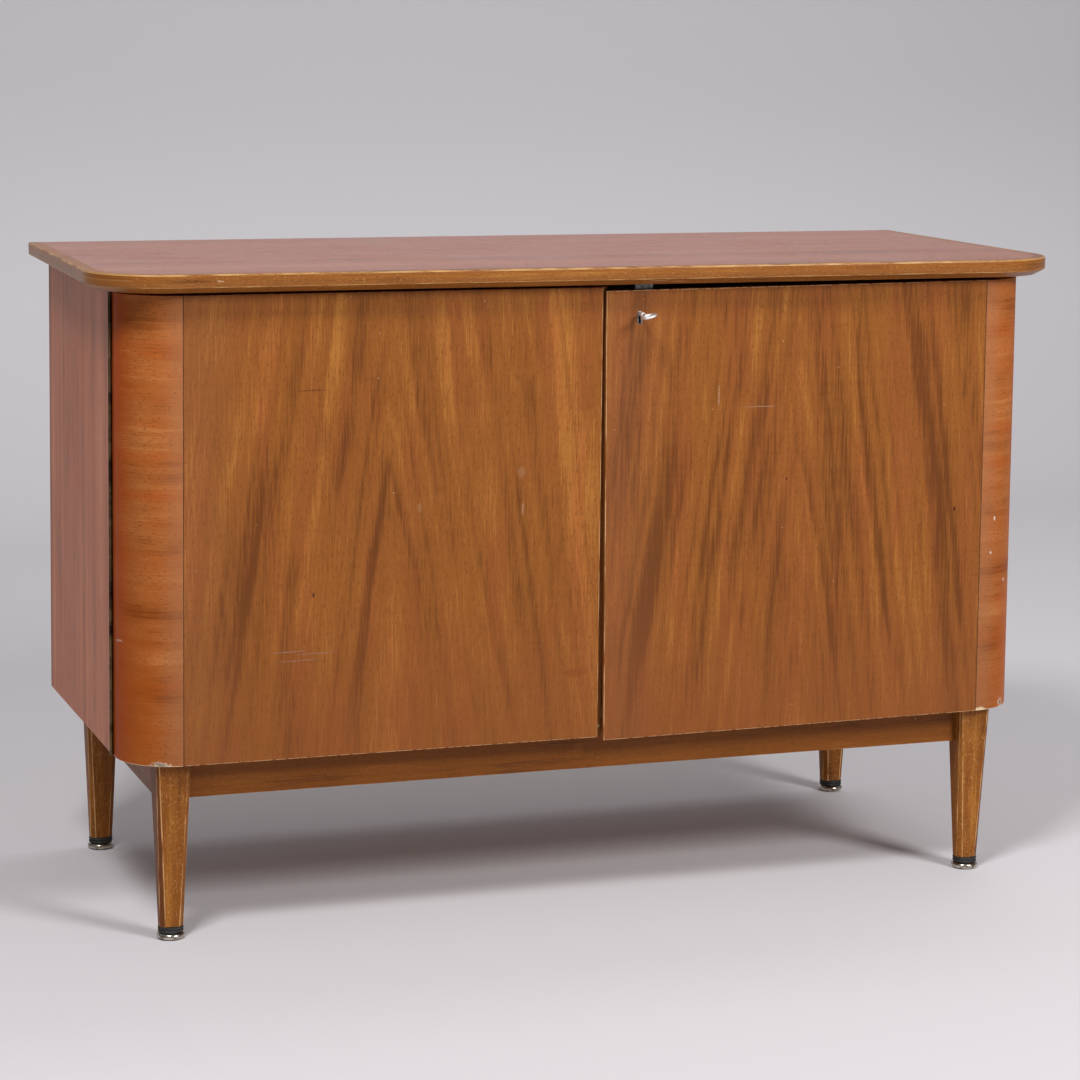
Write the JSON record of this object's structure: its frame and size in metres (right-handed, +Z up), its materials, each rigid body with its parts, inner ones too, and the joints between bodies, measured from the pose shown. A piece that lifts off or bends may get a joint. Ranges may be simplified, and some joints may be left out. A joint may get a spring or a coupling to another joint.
{
  "type": "cabinet",
  "caption": "Low wooden cabinet with veneered doors that have quarter-round corners, on a set-back frame with tapered legs, locked by a key.",
  "frame": {"origin": "on the floor, under the centre of the bounding box", "axes": "+X to the right seen from the front, +Y to the back, +Z up; the doors face -Y"},
  "size_m": [1.2152, 0.513, 0.78],
  "materials": {
    "top_veneer": "satin lacquer",
    "lipping_wood": "satin lacquer",
    "side_veneer": "satin lacquer",
    "door_veneer": "satin lacquer",
    "corner_veneer": "satin lacquer",
    "carcass_wood": "matt lacquer",
    "underframe_wood": "satin lacquer",
    "back_plywood": "bare",
    "hinge_brass": "dulled",
    "lock_steel": "plain",
    "key_nickel": "bright",
    "screw_steel": "plain",
    "screw_brass": "dulled",
    "magnet_case": "matt",
    "glide_nickel": "worn bright",
    "glide_rubber": "matt"
  },
  "bodies": {
    "cabinet": {"top_panel": "top_veneer", "top_edge_lipping": "lipping_wood", "side_panel_left": "side_veneer", "side_panel_right": "side_veneer", "bottom_panel": "carcass_wood", "back_panel": "back_plywood", "centre_partition": "carcass_wood", "top_rail_front": "carcass_wood", "top_rail_back": "carcass_wood", "top_cleats": "carcass_wood", "cleat_screws": "screw_steel", "shelf_left": "carcass_wood", "shelf_right": "carcass_wood", "shelf_pins": "screw_brass", "strike_plate": "lock_steel", "strike_screws": "screw_steel", "catch_magnet": "magnet_case", "magnet_screws": "screw_steel", "left_hinge_fixed_leaf": "hinge_brass", "right_hinge_fixed_leaf": "hinge_brass", "left_hinge_pin": "screw_steel", "right_hinge_pin": "screw_steel", "hinge_screws_carcass": "screw_brass", "apron_front": "underframe_wood", "apron_back": "underframe_wood", "apron_left": "underframe_wood", "apron_right": "underframe_wood", "corner_blocks": "underframe_wood", "corner_block_screws": "screw_steel", "leg_front_left": "underframe_wood", "leg_front_right": "underframe_wood", "leg_back_left": "underframe_wood", "leg_back_right": "underframe_wood", "glide_rings": "glide_rubber", "glide_cups": "glide_nickel"},
    "left_door": {"left_door_panel": "door_veneer", "left_door_corner": "corner_veneer", "left_door_lip": "lipping_wood", "left_hinge_door_leaf": "hinge_brass", "left_hinge_screws_door": "screw_brass", "catch_plate": "lock_steel", "catch_plate_screws": "screw_brass"},
    "right_door": {"right_door_panel": "door_veneer", "right_door_corner": "corner_veneer", "right_hinge_door_leaf": "hinge_brass", "right_hinge_screws_door": "screw_brass", "lock_case": "lock_steel", "lock_screws": "screw_steel", "keyhole_liner": "lock_steel"},
    "key": {"key": "key_nickel"},
    "lock_bolt": {"lock_bolt": "lock_steel"}
  },
  "joints": [
    {"name": "left_door_hinge", "type": "hinge", "parent": "cabinet", "child": "left_door", "pos_m": [-0.57425, -0.1395, 0.4826], "axis": [0, 0, -1], "range_deg": [0, 175]},
    {"name": "right_door_hinge", "type": "hinge", "parent": "cabinet", "child": "right_door", "pos_m": [0.57425, -0.1395, 0.4826], "axis": [0, 0, 1], "range_deg": [0, 175]},
    {"name": "key_turn", "type": "hinge", "parent": "right_door", "child": "key", "pos_m": [0.0465, -0.2165, 0.7213], "axis": [0, -1, 0], "range_deg": [-90, 90]},
    {"name": "bolt_slide", "type": "slide", "parent": "right_door", "child": "lock_bolt", "axis": [0, 0, 1], "range_m": [-0.0045, 0.0045]}
  ],
  "couplings": [
    {"joint": "key_turn", "follows": "bolt_slide", "rad_per_m": 349}
  ]
}
